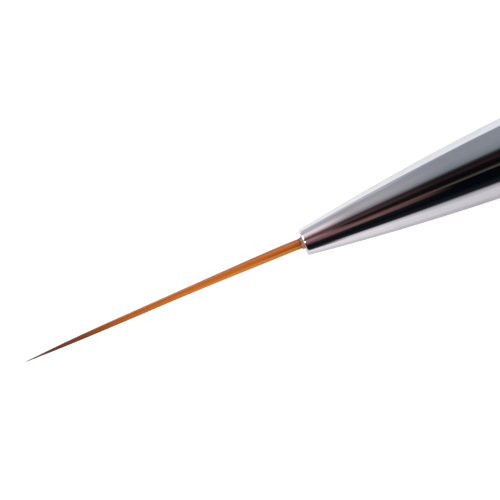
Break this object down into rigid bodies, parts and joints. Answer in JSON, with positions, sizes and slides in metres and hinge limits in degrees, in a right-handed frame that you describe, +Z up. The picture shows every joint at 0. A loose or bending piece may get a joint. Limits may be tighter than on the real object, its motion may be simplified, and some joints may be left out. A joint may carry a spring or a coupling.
{
  "type": "fine detail brush",
  "caption": "Fine liner brush for painting miniatures: a long springy tuft set in a polished, curved-cone metal ferrule on a turned wooden handle with flats that stop it rolling.",
  "frame": {"origin": "on the surface that the brush lies on, under the middle of its length", "axes": "+X along the brush from the tip of the tuft to the tail of the handle, +Z up"},
  "size_m": [0.174, 0.0092, 0.0085],
  "materials": {
    "strand": "satin dyed synthetic filament, amber with a dark red-brown point",
    "root": "resin-soaked fibre",
    "thread": "plain twisted thread",
    "resin": "clear amber epoxy",
    "bead": "dark set resin",
    "ferrule": "mirror-polished nickel plate on brass",
    "glue": "set adhesive",
    "handle": "stained hardwood under clear gloss lacquer"
  },
  "bodies": {
    "holder": {"root_bundle": "root", "binding_thread": "thread", "resin_plug": "resin", "mouth_bead": "bead", "ferrule": "ferrule", "tenon_glue": "glue", "handle": "handle"},
    "tuft": {"strand_01": "strand", "strand_02": "strand", "strand_03": "strand", "strand_04": "strand", "strand_05": "strand", "strand_06": "strand", "strand_07": "strand", "strand_08": "strand", "strand_09": "strand", "strand_10": "strand", "strand_11": "strand", "strand_12": "strand", "strand_13": "strand", "strand_14": "strand", "strand_15": "strand", "strand_16": "strand", "strand_17": "strand", "strand_18": "strand", "strand_19": "strand", "strand_20": "strand", "strand_21": "strand", "strand_22": "strand", "strand_23": "strand", "strand_24": "strand", "strand_25": "strand", "strand_26": "strand", "strand_27": "strand", "strand_28": "strand", "strand_29": "strand", "strand_30": "strand", "strand_31": "strand", "strand_32": "strand", "strand_33": "strand", "strand_34": "strand", "strand_35": "strand", "strand_36": "strand", "strand_37": "strand"}
  },
  "joints": [
    {"name": "tuft_bend", "type": "hinge", "parent": "holder", "child": "tuft", "pos_m": [-0.0675, 0, 0.0039], "axis": [0, 0, 1], "range_deg": [-40, 40], "stiffness_Nm_per_rad": 0.0001}
  ]
}
